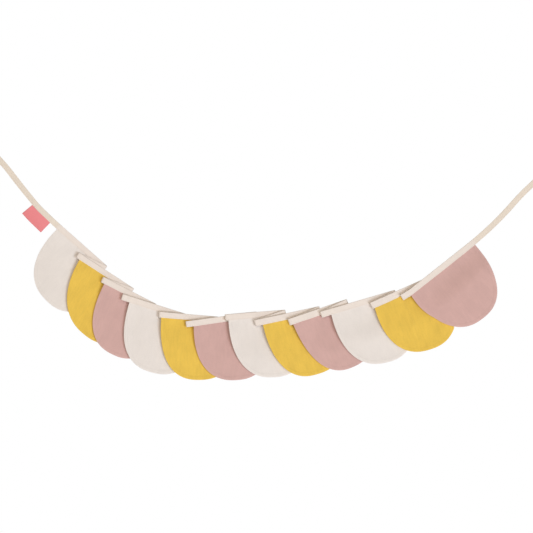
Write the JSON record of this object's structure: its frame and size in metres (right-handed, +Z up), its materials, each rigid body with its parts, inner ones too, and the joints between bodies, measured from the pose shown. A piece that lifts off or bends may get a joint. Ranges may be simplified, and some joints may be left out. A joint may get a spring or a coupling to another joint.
{
  "type": "fabric bunting",
  "caption": "Cotton bunting of overlapping U-shaped flags in cream, yellow and pink on a pleated folded tape that runs on into two ties, hanging in a swag.",
  "frame": {"origin": "the middle of the cut end of the left tie, where it is held", "axes": "+X from the left tie's end to the right along the swag, +Y towards the back, +Z up"},
  "size_m": [1.0041, 0.0292, 0.4194],
  "materials": {
    "cream": "matt woven cotton, cream",
    "yellow": "matt woven cotton, mustard yellow",
    "pink": "matt woven cotton, dusty pink",
    "tape": "matt folded cotton tape, natural",
    "label": "fine woven ribbon, coral pink, bare"
  },
  "bodies": {
    "root": {"binding_tape": "tape", "label": "label", "flag_01": "cream", "flag_02": "yellow", "flag_03": "pink", "flag_04": "cream", "flag_05": "yellow", "flag_06": "pink", "flag_07": "cream", "flag_08": "yellow", "flag_09": "pink", "flag_10": "cream", "flag_11": "yellow", "flag_12": "pink"}
  },
  "joints": []
}
